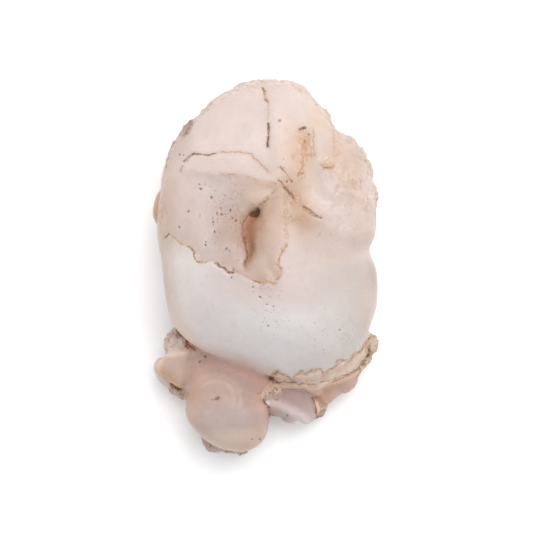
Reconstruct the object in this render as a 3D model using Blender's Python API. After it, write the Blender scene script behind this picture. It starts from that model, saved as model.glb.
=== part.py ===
"""Pink chalcedony specimen: one grown stone, about 90 mm long, lying on its flat broken back.

Metres, +Z up. The origin is the middle of the resting face. Looking down from above, +Y runs from the
small grape-like lobes at the foot of the stone to its crown, and +X runs to its drusy side.
The shape values below are in millimetres.
"""

import math

import bmesh
import bpy
import numpy as np
from mathutils import Euler, Matrix, Vector, noise

MM = 0.001

# How finely the lobes are fused, and how many triangles the finished stone keeps
GRID = 0.75
TRIANGLES = 9300

# The main mass: height of its widest level, and how far it rises and drops from there
WAIST = 16.0
RISE = 19.0
DROP = 21.0
MIDDLE = (0.0, 7.5)

# Its outline at the widest level, anticlockwise from the left edge
OUTLINE = [
    (-26.2, 9.0), (-25.2, 0.0), (-24.8, -5.2), (-22.0, -15.0), (-13.4, -21.8), (1.4, -26.8),
    (13.4, -26.3), (21.4, -21.0), (25.2, -13.3), (26.8, -3.2), (25.4, 3.4), (26.3, 11.2),
    (25.8, 19.8), (21.8, 30.0), (17.4, 32.6), (14.2, 37.8), (6.2, 44.8), (-1.9, 44.6),
    (-12.3, 39.6), (-20.8, 31.4), (-24.8, 22.0),
]

# Swells and dips of the upper side: centre, reach, turn in degrees, lift
SWELLS = {
    "great dome": ((1.5, -8.0), (22.0, 14.0), -8, 6.0),
    "groove above the dome": ((17.0, 6.0), (11.0, 4.0), -12, -1.8),
    "fissure in the crown": ((-0.3, 34.0), (1.6, 9.0), 4, -0.7),
    "dip beside the crown": ((13.0, 22.0), (3.0, 6.0), 20, -1.0),
    "drusy shoulder": ((19.0, 17.0), (6.0, 6.0), 0, 1.0),
}

# Lobes fused to the main mass: centre, radii, turn about Z in degrees and fullness
LOBES = {
    "crust under the dome": ((8.2, -13.5, 11.0), (17.8, 16.8, 13.0), 0, 2.4),
    "pink foot": ((13.6, -22.6, 8.0), (10.2, 10.4, 8.5), 0, 2.5),
    "pale foot": ((6.4, -32.4, 7.0), (7.0, 5.2, 6.5), -14, 2.5),
    "neck of the ball": ((-9.1, -25.3, 9.0), (9.3, 9.0, 8.6), 0, 2.2),
    "ball": ((-9.7, -34.4, 11.0), (9.9, 10.4, 9.8), 0, 2.2),
    "base of the ball": ((-9.0, -38.0, 4.0), (8.0, 7.8, 5.0), 0, 2.6),
    "cream fan": ((-21.2, -25.0, 9.0), (5.4, 5.2, 6.5), 20, 2.4),
    "base of the fan": ((-18.8, -27.0, 4.0), (5.6, 5.2, 5.5), 20, 2.6),
    "grey druse": ((-20.6, -18.1, 8.0), (4.5, 4.2, 6.0), 0, 2.4),
    "flange": ((25.2, -18.6, 12.0), (2.1, 3.2, 3.2), -20, 2.6),
    "bump on the left rim": ((-25.2, 14.2, 13.0), (1.7, 3.6, 4.0), 0, 2.4),
    "brown shard": ((1.6, -28.6, 12.5), (4.4, 2.8, 3.4), -30, 4.0),
}

# Flat-faced crystals set in the skin: centre, half sizes, and turns about X, Y and Z in degrees
CRYSTALS = [
    ((13.6, 29.6, 29.2), (2.5, 3.7, 2.4), (-14, 20, 4)),
    ((17.2, 26.4, 27.6), (1.9, 2.3, 1.8), (-20, 34, 40)),
    ((15.2, 24.4, 30.4), (1.7, 1.5, 1.4), (8, 20, 62)),
    ((20.6, 24.8, 24.0), (1.8, 2.6, 2.2), (-24, 46, 18)),
    ((24.2, 17.0, 19.5), (1.6, 2.2, 2.6), (10, 66, 30)),
    ((25.0, 9.6, 17.0), (1.5, 2.4, 2.2), (-12, 70, 12)),
    ((9.0, 35.0, 28.0), (1.6, 2.0, 1.5), (-26, 6, 30)),
]

# The hollow, seen from above: its upper ridge, the tongue's side, the torn lip of the dome, its slot
RIDGE = [(-29.0, 24.5), (-15.8, 22.7), (-8.6, 21.7), (-1.4, 20.5), (4.6, 19.1)]
TONGUE_SIDE = [
    (6.9, 16.0), (6.7, 13.0), (6.0, 10.0), (5.0, 6.8), (4.6, 4.0), (3.1, 1.1), (3.8, -0.4), (2.9, -2.3),
]
LIP = [
    (1.0, -4.2), (-2.4, -3.2), (-6.2, -1.6), (-9.6, 0.1), (-12.7, 2.0), (-16.6, 1.1), (-17.8, 4.0),
    (-21.8, 6.4), (-29.0, 7.5),
]
SLOT = [(-1.4, 15.2), (-2.5, 13.1), (-3.6, 10.0), (-4.1, 6.4), (-3.9, 2.8), (-4.5, -0.8)]
RIDGE_DROP = 3.4
RIDGE_SLOPE = 6.0
LIP_STEP = 1.1
SLOT_DEPTH = 11.0
SLOT_ROLL = 1.6
TONGUE_SINK = 0.7
TONGUE_EDGE = 0.5

# Texture: broad lumps, round knobs low on the sides, and flat facets where the stone is sugary
LUMP = 11.0
LUMP_HEIGHT = 1.2
DENT = 5.0
DENT_HEIGHT = 0.5
FACET = 4.2
FACET_TILT = 1.1
KNOB_HEIGHT = 1.1


def clear_scene():
    for thing in list(bpy.data.objects):
        bpy.data.objects.remove(thing, do_unlink=True)


def new_object(name, shape):
    """An object whose mesh is drawn by the function shape."""
    mesh = bpy.data.meshes.new(name)
    form = bmesh.new()
    shape(form)
    bmesh.ops.recalc_face_normals(form, faces=form.faces)
    form.to_mesh(mesh)
    form.free()
    made = bpy.data.objects.new(name, mesh)
    bpy.context.scene.collection.objects.link(made)
    return made


def points_of(mesh):
    values = np.empty(len(mesh.vertices) * 3)
    mesh.vertices.foreach_get("co", values)
    return values.reshape(-1, 3) / MM


def normals_of(mesh):
    values = np.empty(len(mesh.vertices) * 3)
    mesh.vertex_normals.foreach_get("vector", values)
    return values.reshape(-1, 3)


def put_points(mesh, points):
    mesh.vertices.foreach_set("co", (points * MM).ravel())
    mesh.update()


def step(low, high, value):
    """0 below low, 1 above high and a soft slope between them."""
    share = np.clip((value - low) / (high - low), 0, 1)
    return share * share * (3 - 2 * share)


def fill_out(points, fullness):
    """Unit sphere points pushed out to a superellipsoid, which is boxier the higher its fullness."""
    size = (np.abs(points) ** fullness).sum(axis=1) ** (-1 / fullness)
    return points * size[:, None]


def outline_reach(heading):
    """How far the outline is from the middle in each direction, curved smoothly through its points."""
    rim = np.array(OUTLINE) - MIDDLE
    angles = np.arctan2(rim[:, 1], rim[:, 0])
    order = np.argsort(angles)
    angles = angles[order]
    reach = np.hypot(rim[:, 0], rim[:, 1])[order]
    angles = np.concatenate([angles[-3:] - 2 * math.pi, angles, angles[:3] + 2 * math.pi])
    reach = np.concatenate([reach[-3:], reach, reach[:3]])
    slope = np.gradient(reach, angles)
    heading = (heading + math.pi) % (2 * math.pi) - math.pi
    first = np.searchsorted(angles, heading) - 1
    gap = angles[first + 1] - angles[first]
    t = (heading - angles[first]) / gap
    near = reach[first] * (2 * t**3 - 3 * t**2 + 1) + slope[first] * gap * (t**3 - 2 * t**2 + t)
    far = reach[first + 1] * (3 * t**2 - 2 * t**3) + slope[first + 1] * gap * (t**3 - t**2)
    return near + far


def body(form):
    """The main mass: the outline at its waist, a plainer outline toward the top and the back."""
    bmesh.ops.create_icosphere(form, subdivisions=6, radius=1.0)
    unit = np.array([vertex.co for vertex in form.verts])
    across = np.hypot(unit[:, 0], unit[:, 1])
    section = fill_out(np.column_stack([across, unit[:, 2]]), 2.6)
    heading = np.arctan2(unit[:, 1], unit[:, 0])
    edge = outline_reach(heading)
    plain = np.mean([outline_reach(heading + turn) for turn in np.linspace(-0.5, 0.5, 11)], axis=0)
    sharp = section[:, 0] ** 3
    radius = (plain * (1 - sharp) + edge * sharp) * section[:, 0]
    tall = np.where(unit[:, 2] > 0, RISE, DROP)
    made = np.column_stack([
        MIDDLE[0] + radius * np.cos(heading),
        MIDDLE[1] + radius * np.sin(heading),
        WAIST + section[:, 1] * tall,
    ])
    for vertex, place in zip(form.verts, made):
        vertex.co = place * MM


def lobes(form):
    for centre, radii, turn, fullness in LOBES.values():
        made = bmesh.ops.create_icosphere(form, subdivisions=5, radius=1.0)["verts"]
        unit = fill_out(np.array([vertex.co for vertex in made]), fullness)
        place = Matrix.LocRotScale(
            Vector(centre) * MM, Euler((0, 0, math.radians(turn))), Vector(radii) * MM
        )
        for vertex, point in zip(made, unit):
            vertex.co = place @ Vector(point)


def crystals(form):
    for centre, half, turns in CRYSTALS:
        place = Matrix.LocRotScale(
            Vector(centre) * MM, Euler([math.radians(turn) for turn in turns]), Vector(half) * 2 * MM
        )
        bmesh.ops.create_cube(form, size=1.0, matrix=place)


def apply_modifiers(thing):
    graph = bpy.context.evaluated_depsgraph_get()
    mesh = bpy.data.meshes.new_from_object(thing.evaluated_get(graph))
    thing.modifiers.clear()
    thing.data = mesh


def fuse(thing):
    """Overlapping closed shapes made one skin."""
    remesh = thing.modifiers.new("fuse", "REMESH")
    remesh.mode = "VOXEL"
    remesh.voxel_size = GRID * MM
    apply_modifiers(thing)


def smooth(thing, turns):
    ease = thing.modifiers.new("ease", "SMOOTH")
    ease.factor = 0.5
    ease.iterations = turns
    apply_modifiers(thing)


def join(first, second):
    bpy.ops.object.select_all(action="DESELECT")
    first.select_set(True)
    second.select_set(True)
    bpy.context.view_layer.objects.active = first
    bpy.ops.object.join()


def swell(stone):
    points = points_of(stone.data)
    top = step(WAIST, WAIST + 8, points[:, 2])
    for centre, reach, turn, lift in SWELLS.values():
        flat = points[:, :2] - centre
        angle = math.radians(turn)
        along = (flat[:, 0] * math.cos(angle) + flat[:, 1] * math.sin(angle)) / reach[0]
        aside = (flat[:, 1] * math.cos(angle) - flat[:, 0] * math.sin(angle)) / reach[1]
        points[:, 2] += lift * top * np.exp(-(along**2 + aside**2))
    put_points(stone.data, points)


def inside(flat, outline):
    """Which points lie inside a closed outline, by counting crossings."""
    hit = np.zeros(len(flat), bool)
    for (x0, y0), (x1, y1) in zip(outline, outline[1:] + outline[:1]):
        if y0 == y1:
            continue
        crosses = (flat[:, 1] < y0) != (flat[:, 1] < y1)
        hit ^= crosses & (flat[:, 0] < x0 + (flat[:, 1] - y0) * (x1 - x0) / (y1 - y0))
    return hit


def from_line(flat, line):
    """Distance to an open line, negative on its right, and the share of the way along it."""
    signed = np.full(len(flat), 1e9)
    along = np.zeros(len(flat))
    for i, (a, b) in enumerate(zip(line, line[1:])):
        run = np.subtract(b, a)
        share = np.clip(((flat - a) @ run) / (run @ run), 0, 1)
        off = flat - a - share[:, None] * run
        far = np.hypot(off[:, 0], off[:, 1])
        side = np.where(run[0] * off[:, 1] < run[1] * off[:, 0], -1, 1)
        nearer = far < np.abs(signed)
        signed[nearer] = (far * side)[nearer]
        along[nearer] = ((i + share) / (len(line) - 1))[nearer]
    return signed, along


def sink_hollow(stone):
    """The cove under the ridge, the face that runs down to the torn lip, the slot and the tongue."""
    points = points_of(stone.data)
    flat = points[:, :2]
    within = inside(flat, RIDGE + TONGUE_SIDE + LIP)
    ridge = np.abs(from_line(flat, RIDGE)[0])
    lip = np.abs(from_line(flat, LIP)[0])
    edge = np.abs(from_line(flat, TONGUE_SIDE)[0])
    slot, along = from_line(flat, SLOT)
    window = step(0, 0.15, along) * step(0, 0.25, 1 - along)
    cove = 1 - (1 - np.clip(ridge / RIDGE_SLOPE, 0, 1)) ** 2
    fade = step(-25, -13, flat[:, 0])
    face = cove * (LIP_STEP + fade * (RIDGE_DROP - LIP_STEP) * step(0, 12, lip))
    face += SLOT_ROLL * step(-7, 0, -np.abs(slot)) * window
    tongue = cove * (TONGUE_SINK + TONGUE_EDGE * (1 - step(0, 2, edge)))
    right = step(0, 3.5, slot)
    calm = face * (1 - right) + tongue * right
    reach = np.where(slot > 0, 3.0, 1.4)
    pit = np.exp(-np.abs(slot / reach) ** 1.5) * window
    depth = calm * (1 - pit) + SLOT_DEPTH * pit
    top = step(WAIST + 2, WAIST + 10, points[:, 2])
    points[:, 2] -= np.where(within, depth * top, 0)
    put_points(stone.data, points)


def roughen(stone):
    """Broad lumps all over, round knobs low on the sides and facets on the sugary parts."""
    points = points_of(stone.data)
    x, y, z = points.T
    low = 1 - step(4, 11, z)
    drusy = np.exp(-(((x - 20) / 8) ** 2 + ((y - 17) / 11) ** 2) ** 2)
    crown_rim = step(12, 24, y) * (1 - step(22, 30, z))
    left_rim = step(8, 14, y) * step(21, 24, -x)
    sugary = np.clip(drusy + crown_rim + left_rim + 0.7 * low, 0, 1)
    lumpy = 0.35 + 0.65 * np.clip(low + crown_rim, 0, 1)
    move = np.empty(len(points))
    for i, point in enumerate(points):
        place = Vector(point)
        lump = noise.noise(place / LUMP) * LUMP_HEIGHT + noise.noise(place / DENT) * DENT_HEIGHT
        distances, centres = noise.voronoi(place / FACET)
        knob = low[i] * KNOB_HEIGHT * (0.45 - distances[0])
        slant = noise.cell_vector(centres[0] * 9.7) * 2 - Vector((1, 1, 1))
        facet = FACET_TILT * (place / FACET - centres[0]).dot(slant) - 0.3
        move[i] = lumpy[i] * lump + knob + sugary[i] * facet
    put_points(stone.data, points + normals_of(stone.data) * move[:, None])


def thin_out(stone):
    stone.data.calc_loop_triangles()
    fewer = stone.modifiers.new("fewer", "DECIMATE")
    fewer.ratio = TRIANGLES / len(stone.data.loop_triangles)
    apply_modifiers(stone)


def flatten_back(stone):
    """The broken back, cut off flat at Z = 0."""
    form = bmesh.new()
    form.from_mesh(stone.data)
    cut = bmesh.ops.bisect_plane(
        form,
        geom=form.verts[:] + form.edges[:] + form.faces[:],
        plane_co=(0, 0, 0),
        plane_no=(0, 0, -1),
        clear_outer=True,
    )
    rim = [piece for piece in cut["geom_cut"] if isinstance(piece, bmesh.types.BMEdge)]
    bmesh.ops.triangle_fill(form, edges=rim, use_beauty=True, normal=(0, 0, -1))
    bmesh.ops.triangulate(form, faces=form.faces[:])
    bmesh.ops.recalc_face_normals(form, faces=form.faces)
    form.to_mesh(stone.data)
    form.free()


def centre_on_origin(stone):
    points = points_of(stone.data)
    points[:, :2] -= (points.min(axis=0) + points.max(axis=0))[:2] / 2
    put_points(stone.data, points)


def dress(stone):
    finish = bpy.data.materials.new("pink_chalcedony")
    finish.use_nodes = True
    shader = finish.node_tree.nodes["Principled BSDF"]
    shader.inputs["Base Color"].default_value = (0.72, 0.60, 0.55, 1)
    shader.inputs["Roughness"].default_value = 0.42
    shader.inputs["Metallic"].default_value = 0.0
    stone.data.materials.clear()
    stone.data.materials.append(finish)


def main():
    clear_scene()
    stone = new_object("chalcedony", body)
    fuse(stone)
    swell(stone)
    smooth(stone, 8)
    sink_hollow(stone)
    smooth(stone, 1)
    join(stone, new_object("lobes", lobes))
    join(stone, new_object("crystals", crystals))
    fuse(stone)
    smooth(stone, 2)
    roughen(stone)
    thin_out(stone)
    flatten_back(stone)
    centre_on_origin(stone)
    dress(stone)


main()
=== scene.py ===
"""Looks of a pink chalcedony specimen that lies on its flat broken back, seen from straight above."""

import math

import bpy
import numpy as np
from mathutils import Matrix, Vector, noise


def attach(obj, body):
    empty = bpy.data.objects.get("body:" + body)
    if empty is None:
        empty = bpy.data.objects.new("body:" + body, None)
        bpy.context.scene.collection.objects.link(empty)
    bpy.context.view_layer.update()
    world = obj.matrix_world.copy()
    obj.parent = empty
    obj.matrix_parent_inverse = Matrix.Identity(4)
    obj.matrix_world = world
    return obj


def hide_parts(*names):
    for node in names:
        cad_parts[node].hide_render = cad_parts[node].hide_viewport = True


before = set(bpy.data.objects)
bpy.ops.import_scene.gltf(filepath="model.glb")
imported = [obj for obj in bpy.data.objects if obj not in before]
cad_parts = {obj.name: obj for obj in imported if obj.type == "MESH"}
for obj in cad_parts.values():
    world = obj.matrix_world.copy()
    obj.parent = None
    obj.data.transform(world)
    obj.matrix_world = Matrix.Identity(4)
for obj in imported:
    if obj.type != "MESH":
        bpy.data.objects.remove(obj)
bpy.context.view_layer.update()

# The stone's mass. One grown lump of chalcedony: a great smooth dome, a cracked crown, a drusy shoulder and
# small round lobes at its foot. It is one piece, so every lobe is fused into one skin. Shape values are
# in millimetres, and heights are above the flat back that it lies on.
MM = 0.001
GRID = 0.47
WAIST = 16.0
RISE = 19.0
DROP = 21.0
MIDDLE = (0.0, 7.5)
OUTLINE = [
    (-26.2, 9.0), (-25.2, 0.0), (-24.8, -5.2), (-22.0, -14.4), (-15.9, -19.9), (-11.0, -22.0), (-5.5, -23.8),
    (1.0, -26.2), (7.0, -27.1), (13.4, -26.3), (21.4, -21.0), (25.2, -13.3), (27.0, -4.5), (26.6, -0.2),
    (24.7, 3.4), (26.2, 7.8), (26.5, 13.0), (25.8, 19.8), (21.8, 30.0), (17.4, 32.6), (14.2, 37.8),
    (6.2, 44.8), (-1.9, 44.3), (-7.0, 42.9), (-12.8, 40.1), (-17.8, 35.9), (-20.2, 34.2), (-21.9, 30.4),
    (-24.0, 25.6), (-24.9, 22.0),
]
SWELLS = {
    "great dome": ((1.5, -8.0), (22.0, 14.0), -8, 6.0),
    "groove above the dome": ((17.0, 6.0), (11.0, 4.0), -12, -1.8),
    "fissure in the crown": ((-0.3, 34.0), (1.6, 9.0), 4, -0.7),
    "dip beside the crown": ((13.0, 22.0), (3.0, 6.0), 20, -1.0),
    "drusy shoulder": ((19.0, 17.0), (6.0, 6.0), 0, 1.0),
}
STREAKS = [
    ([(9.6, 25.6), (11.0, 21.5), (11.8, 18.5), (13.2, 16.2), (15.4, 14.8), (18.0, 12.6)], 1.6, 0.3),
    ([(17.6, 18.6), (20.0, 17.8), (22.8, 16.8), (26.0, 14.8)], 0.8, 0.3),
]
LOBES = {
    "corner of the shoulder": ([
        (14.5, 33.4), (16.9, 33.0), (18.4, 32.2), (20.5, 31.6), (23.3, 28.9), (24.9, 26.0), (25.5, 21.5),
        (20.0, 20.0), (14.0, 26.0),
    ], 15.0, 8.8, 12.0, 3.0, (-0.1, -0.1)),
    "ledge under the crust": ([
        (0.0, -29.6), (1.5, -25.0), (5.5, -22.0), (11.0, -22.0), (14.5, -25.0), (14.6, -29.0), (12.6, -31.0),
        (10.2, -30.5), (8.2, -29.8), (6.2, -29.6), (4.1, -29.8), (1.9, -30.5),
    ], 10.0, 5.0, 9.0, 3.0, (0, 0)),
    "crust under the dome": ([
        (0.8, -26.0), (1.4, -28.0), (4.3, -28.9), (8.6, -29.5), (13.0, -28.9), (17.0, -27.3), (20.4, -25.4),
        (23.3, -22.2), (24.6, -18.0), (23.0, -12.0), (12.0, -10.0), (3.0, -16.0),
    ], 11.0, 7.0, 10.0, 2.6, (0, 0)),
    "pink foot": ([
        (9.0, -28.0), (12.0, -32.0), (14.4, -33.0), (17.0, -30.8), (20.2, -29.9), (22.1, -26.8),
        (23.2, -23.6), (22.0, -18.0), (12.0, -16.0), (6.0, -22.0),
    ], 7.0, 7.0, 7.0, 2.7, (0, 0.1)),
    "dark corner of the foot": ([
        (11.0, -31.5), (13.6, -32.4), (14.5, -33.5), (14.0, -34.7), (12.4, -36.5), (10.8, -36.0),
    ], 4.5, 4.5, 4.5, 3.0, (0, 0)),
    "pale foot": ([
        (-1.0, -33.0), (0.1, -30.4), (1.9, -28.4), (4.1, -27.4), (6.4, -27.2), (8.6, -27.5), (10.3, -28.8),
        (11.2, -31.0), (11.8, -33.8), (11.9, -36.3), (10.8, -37.6), (9.6, -37.9), (7.7, -36.9), (6.2, -37.5),
        (5.0, -37.4), (3.1, -36.0), (0.7, -35.3),
    ], 6.5, 7.6, 6.5, 2.8, (0, 0.1)),
    "brown shard": ([
        (-2.4, -30.1), (-1.2, -29.2), (0.0, -28.2), (1.0, -27.0), (2.4, -27.6), (4.1, -28.9), (3.6, -30.4),
        (1.0, -31.3), (-1.0, -31.6),
    ], 11.0, 4.2, 6.0, 3.2, (0, 0.2)),
    "neck": ([
        (-19.4, -20.5), (-16.0, -17.0), (-8.0, -18.0), (0.5, -22.0), (1.6, -27.0), (0.0, -30.5),
        (-2.5, -33.0), (-9.0, -36.0), (-16.0, -33.5), (-19.2, -30.0), (-19.2, -25.5),
    ], 9.0, 9.4, 9.0, 2.5, (0, -0.1)),
    "ball": ([
        (-19.4, -33.4), (-19.1, -36.3), (-17.6, -38.6), (-15.4, -40.8), (-13.0, -42.5), (-9.6, -43.9),
        (-5.6, -44.3), (-2.6, -43.3), (-0.6, -41.4), (0.5, -38.4), (0.6, -35.8), (-0.2, -33.2),
        (-2.6, -30.6), (-7.0, -27.5), (-13.0, -26.5), (-18.0, -29.0),
    ], 10.5, 8.8, 10.0, 2.9, (0, -0.05)),
    "base of the ball": ([
        (-15.6, -41.2), (-14.6, -43.4), (-12.4, -44.8), (-8.6, -45.0), (-5.9, -44.6), (-3.4, -43.4),
        (-1.4, -41.6), (-2.0, -36.0), (-10.0, -34.0), (-16.0, -38.0),
    ], 4.0, 5.5, 5.0, 2.8, (0, 0)),
    "cream fan": ([
        (-26.2, -23.9), (-25.2, -22.2), (-23.3, -20.6), (-20.9, -19.6), (-18.2, -19.7), (-17.2, -23.5),
        (-18.0, -27.0), (-20.2, -29.0), (-22.1, -28.3), (-23.8, -26.9), (-25.7, -25.4),
    ], 9.8, 5.6, 7.0, 3.2, (0.06, 0.12)),
    "pale rim of the fan": ([
        (-27.1, -23.6), (-26.9, -25.2), (-25.4, -27.2), (-22.0, -28.6), (-20.0, -24.0), (-24.6, -21.6),
    ], 6.0, 5.0, 6.0, 2.8, (0, 0)),
    "base of the fan": ([
        (-25.2, -25.8), (-23.9, -27.8), (-22.5, -29.7), (-20.6, -31.2), (-17.0, -31.0), (-17.0, -26.0),
        (-22.0, -24.0),
    ], 4.5, 5.5, 5.0, 3.0, (0, 0)),
    "grey druse": ([
        (-21.8, -14.2), (-23.2, -15.4), (-24.5, -16.9), (-24.9, -19.0), (-24.6, -20.6), (-21.6, -20.9),
        (-18.0, -20.6), (-17.2, -18.8), (-19.0, -16.0),
    ], 8.5, 5.5, 8.0, 3.0, (0, 0)),
    "flange": ([
        (22.4, -25.2), (22.6, -20.5), (24.4, -16.8), (25.4, -16.3), (26.7, -17.2), (27.0, -18.6),
        (26.6, -20.4), (25.3, -22.5), (23.8, -24.6),
    ], 10.5, 3.6, 4.5, 3.4, (0, 0)),
    "bump on the left rim": ([
        (-26.9, 15.8), (-27.2, 13.5), (-26.5, 10.6), (-24.0, 8.8), (-21.5, 14.0), (-24.0, 19.0),
        (-26.0, 17.8),
    ], 13.0, 4.6, 5.0, 2.4, (0, 0)),
}
CRYSTALS = {
    "block": ((13.6, 30.0), 0.55, (2.4, 3.5, 2.0), -2),
    "wedge": ((18.6, 26.6), 0.3, (1.5, 2.0, 1.6), 40),
    "rim": ((22.0, 24.0), 0.4, (1.6, 2.2, 1.6), 12),
    "side": ((24.6, 17.5), 0.4, (1.6, 2.2, 1.6), 30),
    "sliver": ((11.9, -33.9), 1.2, (0.34, 2.7, 3.6), 15),
}
EYE = 700.0
LEVEL = 20.0


def work_on(thing):
    bpy.ops.object.select_all(action="DESELECT")
    thing.select_set(True)
    bpy.context.view_layer.objects.active = thing


def finish_with(thing, kind, **settings):
    """A modifier with these settings, added and applied."""
    work_on(thing)
    modifier = thing.modifiers.new(kind.lower(), kind)
    for name, value in settings.items():
        setattr(modifier, name, value)
    bpy.ops.object.modifier_apply(modifier=modifier.name)


def pick_faces(thing, wanted):
    """Leaves the thing in edit mode with only the faces selected whose first point is wanted."""
    work_on(thing)
    bpy.ops.object.mode_set(mode="EDIT")
    bpy.ops.mesh.select_mode(type="FACE")
    bpy.ops.mesh.select_all(action="DESELECT")
    bpy.ops.object.mode_set(mode="OBJECT")
    faces = thing.data.polygons
    faces.foreach_set("select", [bool(wanted[face.vertices[0]]) for face in faces])
    bpy.ops.object.mode_set(mode="EDIT")


def cut_below(thing, height):
    work_on(thing)
    bpy.ops.object.mode_set(mode="EDIT")
    bpy.ops.mesh.select_all(action="SELECT")
    bpy.ops.mesh.bisect(
        plane_co=(0, 0, height * MM), plane_no=(0, 0, -1), use_fill=True, clear_outer=True, threshold=1e-6)
    bpy.ops.object.mode_set(mode="OBJECT")


def points_of(thing):
    values = np.empty(len(thing.data.vertices) * 3)
    thing.data.vertices.foreach_get("co", values)
    return values.reshape(-1, 3) / MM


def normals_of(thing):
    values = np.empty(len(thing.data.vertices) * 3)
    thing.data.vertex_normals.foreach_get("vector", values)
    return values.reshape(-1, 3)


def put_points(thing, points):
    thing.data.vertices.foreach_set("co", (points * MM).ravel())
    thing.data.update()


def step(low, high, value):
    """0 below low, 1 above high and a soft slope between them."""
    share = np.clip((value - low) / (high - low), 0, 1)
    return share * share * (3 - 2 * share)


def in_ellipse(flat, radii, turn):
    """How far along and across a turned ellipse each point is, as shares of its half sizes."""
    angle = math.radians(turn)
    along = (flat[:, 0] * math.cos(angle) + flat[:, 1] * math.sin(angle)) / radii[0]
    aside = (flat[:, 1] * math.cos(angle) - flat[:, 0] * math.sin(angle)) / radii[1]
    return along, aside


def fill_out(points, fullness):
    """Unit sphere points pushed out to a superellipsoid, which is boxier the higher its fullness."""
    size = (np.abs(points) ** fullness).sum(axis=1) ** (-1 / fullness)
    return points * size[:, None]


def ball(name, subdivisions):
    bpy.ops.object.select_all(action="DESELECT")
    bpy.ops.mesh.primitive_ico_sphere_add(subdivisions=subdivisions, radius=1.0)
    bpy.context.object.name = name
    return bpy.context.object


def join(first, others):
    work_on(first)
    for other in others:
        other.select_set(True)
    bpy.ops.object.join()


def outline_reach(outline, middle, heading):
    """How far an outline is from its middle in each direction, curved smoothly through its points."""
    rim = np.array(outline) - middle
    angles = np.arctan2(rim[:, 1], rim[:, 0])
    order = np.argsort(angles)
    angles = angles[order]
    reach = np.hypot(rim[:, 0], rim[:, 1])[order]
    angles = np.concatenate([angles[-3:] - 2 * math.pi, angles, angles[:3] + 2 * math.pi])
    reach = np.concatenate([reach[-3:], reach, reach[:3]])
    slope = np.gradient(reach, angles)
    heading = (heading + math.pi) % (2 * math.pi) - math.pi
    first = np.searchsorted(angles, heading) - 1
    gap = angles[first + 1] - angles[first]
    t = (heading - angles[first]) / gap
    near = reach[first] * (2 * t**3 - 3 * t**2 + 1) + slope[first] * gap * (t**3 - 2 * t**2 + t)
    far = reach[first + 1] * (3 * t**2 - 2 * t**3) + slope[first + 1] * gap * (t**3 - t**2)
    return near + far


def lobe_frame(name):
    """A lobe's outline at the height of its waist, and the middle of it."""
    outline, waist = LOBES[name][:2]
    outline = np.array(outline) * (EYE - waist) / (EYE - LEVEL)
    return outline, outline.mean(axis=0)


def grow_lobe(name):
    """A lobe that fills its outline at the waist, rises above it and drops below it."""
    waist, rise, drop, fullness, slope = LOBES[name][1:]
    outline, middle = lobe_frame(name)
    lobe = ball(name, 6)
    unit = points_of(lobe) * MM
    section = fill_out(np.column_stack([np.hypot(unit[:, 0], unit[:, 1]), unit[:, 2]]), fullness)
    heading = np.arctan2(unit[:, 1], unit[:, 0])
    radius = outline_reach(outline, middle, heading) * section[:, 0]
    flat = radius[:, None] * np.column_stack([np.cos(heading), np.sin(heading)])
    height = waist + section[:, 1] * np.where(unit[:, 2] > 0, rise, drop) + flat @ slope
    put_points(lobe, np.column_stack([flat + middle, height]))
    return lobe


def seat(centre, raised, half, spin):
    """The middle and the turn of a box that sticks out of the skin by a little, square to it."""
    points = points_of(stone)
    near = np.hypot(*(points[:, :2] - centre).T) < 1.6
    near &= normals_of(stone)[:, 2] > 0
    normal = normals_of(stone)[near].mean(axis=0)
    normal /= np.linalg.norm(normal)
    aside = np.cross((0, 1, 0), normal)
    aside /= np.linalg.norm(aside)
    turn = np.column_stack([aside, np.cross(normal, aside), normal])
    turn = turn @ np.array(Matrix.Rotation(math.radians(spin), 3, "Z"))
    return points[near].mean(axis=0) + normal * (raised - half[2]), turn


def grow_crystal(name):
    half = CRYSTALS[name][2]
    middle, turn = seats[name]
    bpy.ops.object.select_all(action="DESELECT")
    bpy.ops.mesh.primitive_cube_add(size=2.0)
    box = bpy.context.object
    box.name = name
    put_points(box, points_of(box) * MM * half @ turn.T + middle)
    return box


stone = ball("chalcedony_stone", 7)
unit = points_of(stone) * MM
across = np.hypot(unit[:, 0], unit[:, 1])
section = fill_out(np.column_stack([across, unit[:, 2]]), 2.6)
heading = np.arctan2(unit[:, 1], unit[:, 0])
edge = outline_reach(OUTLINE, MIDDLE, heading)
turns = np.linspace(-0.5, 0.5, 11)
plain = np.mean([outline_reach(OUTLINE, MIDDLE, heading + turn) for turn in turns], axis=0)
sharp = section[:, 0] ** 3
radius = (plain * (1 - sharp) + edge * sharp) * section[:, 0]
tall = np.where(unit[:, 2] > 0, RISE, DROP)
put_points(stone, np.column_stack([
    MIDDLE[0] + radius * np.cos(heading),
    MIDDLE[1] + radius * np.sin(heading),
    WAIST + section[:, 1] * tall,
]))
finish_with(stone, "REMESH", mode="VOXEL", voxel_size=GRID * MM)

points = points_of(stone)
top = step(WAIST, WAIST + 8, points[:, 2])
for centre, reach, turn, lift in SWELLS.values():
    along, aside = in_ellipse(points[:, :2] - centre, reach, turn)
    points[:, 2] += lift * top * np.exp(-(along**2 + aside**2))
put_points(stone, points)
finish_with(stone, "SMOOTH", factor=0.5, iterations=16)

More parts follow.
